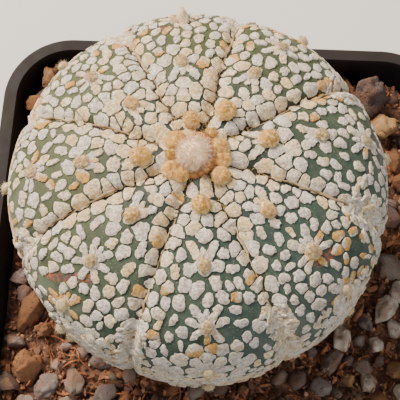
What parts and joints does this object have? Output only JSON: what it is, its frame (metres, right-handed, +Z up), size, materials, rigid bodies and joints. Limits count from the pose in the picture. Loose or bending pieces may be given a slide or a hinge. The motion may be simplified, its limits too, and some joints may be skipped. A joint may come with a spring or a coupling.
{
  "type": "potted star cactus",
  "caption": "Domed spineless star cactus with wide ribs covered in woolly white flecks, standing in gritty soil in a square black nursery pot.",
  "frame": {"origin": "middle of the pot's underside", "axes": "+Z up, out of the pot's mouth; X and Y along the pot's sides"},
  "size_m": [0.1, 0.1, 0.1249],
  "materials": {
    "black_plastic": "satin",
    "grit_and_bark": "matte",
    "flecked_skin": "matte"
  },
  "bodies": {
    "root": {"pot": "black_plastic", "soil": "grit_and_bark", "cactus": "flecked_skin"}
  },
  "joints": []
}
